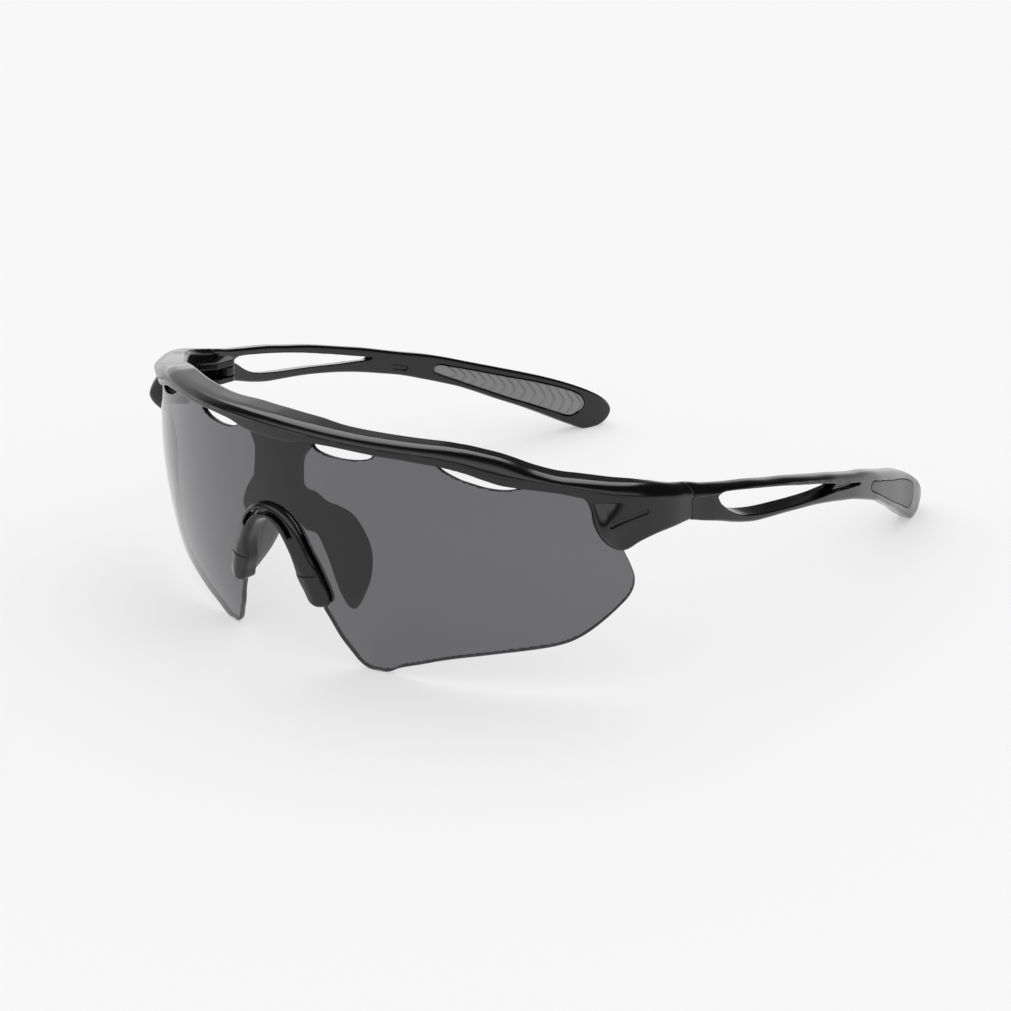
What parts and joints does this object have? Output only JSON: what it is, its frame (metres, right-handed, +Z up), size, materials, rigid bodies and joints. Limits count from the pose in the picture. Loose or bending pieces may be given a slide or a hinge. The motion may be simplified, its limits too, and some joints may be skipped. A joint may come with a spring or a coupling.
{
  "type": "wraparound sport sunglasses",
  "caption": "Half-rim wraparound sport sunglasses: one-piece smoke shield lens under a glossy black brow bar, nose clip and pads, folding openwork temples with soft grips.",
  "frame": {"origin": "on the resting plane, under the middle of the open glasses' bounding box", "axes": "+Z up, the lens faces -Y, the temples run back along +Y, +X is the wearer's left; X is across the mirror plane"},
  "size_m": [0.1394, 0.1578, 0.0497],
  "materials": {
    "frame_black": "injection-moulded, high gloss",
    "lens_smoke": "polished smoke-grey polycarbonate",
    "strut_black": "satin moulded plastic",
    "clip_black": "injection-moulded, gloss",
    "pad_rubber": "soft matte rubber",
    "grip_rubber": "soft matte grey rubber with chevron grooves",
    "inlay_rubber": "smooth satin rubber",
    "screw_steel": "machined stainless steel",
    "insert_brass": "turned brass"
  },
  "bodies": {
    "front": {"brow_frame": "frame_black", "lens": "lens_smoke", "nose_strut": "strut_black", "nose_clip": "clip_black", "nose_pad_left": "pad_rubber", "nose_pad_right": "pad_rubber", "hinge_screw_left": "screw_steel", "hinge_screw_right": "screw_steel", "hinge_insert_left": "insert_brass", "hinge_insert_right": "insert_brass"},
    "left_arm": {"temple_left": "frame_black", "temple_grip_left": "grip_rubber", "temple_inlay_left": "inlay_rubber"},
    "right_arm": {"temple_right": "frame_black", "temple_grip_right": "grip_rubber", "temple_inlay_right": "inlay_rubber"}
  },
  "joints": [
    {"name": "left_temple_fold", "type": "hinge", "parent": "front", "child": "left_arm", "pos_m": [0.062, -0.03036, 0.035], "axis": [0, 0, 1], "range_deg": [0, 90]},
    {"name": "right_temple_fold", "type": "hinge", "parent": "front", "child": "right_arm", "pos_m": [-0.062, -0.03036, 0.035], "axis": [0, 0, -1], "range_deg": [0, 82]}
  ]
}
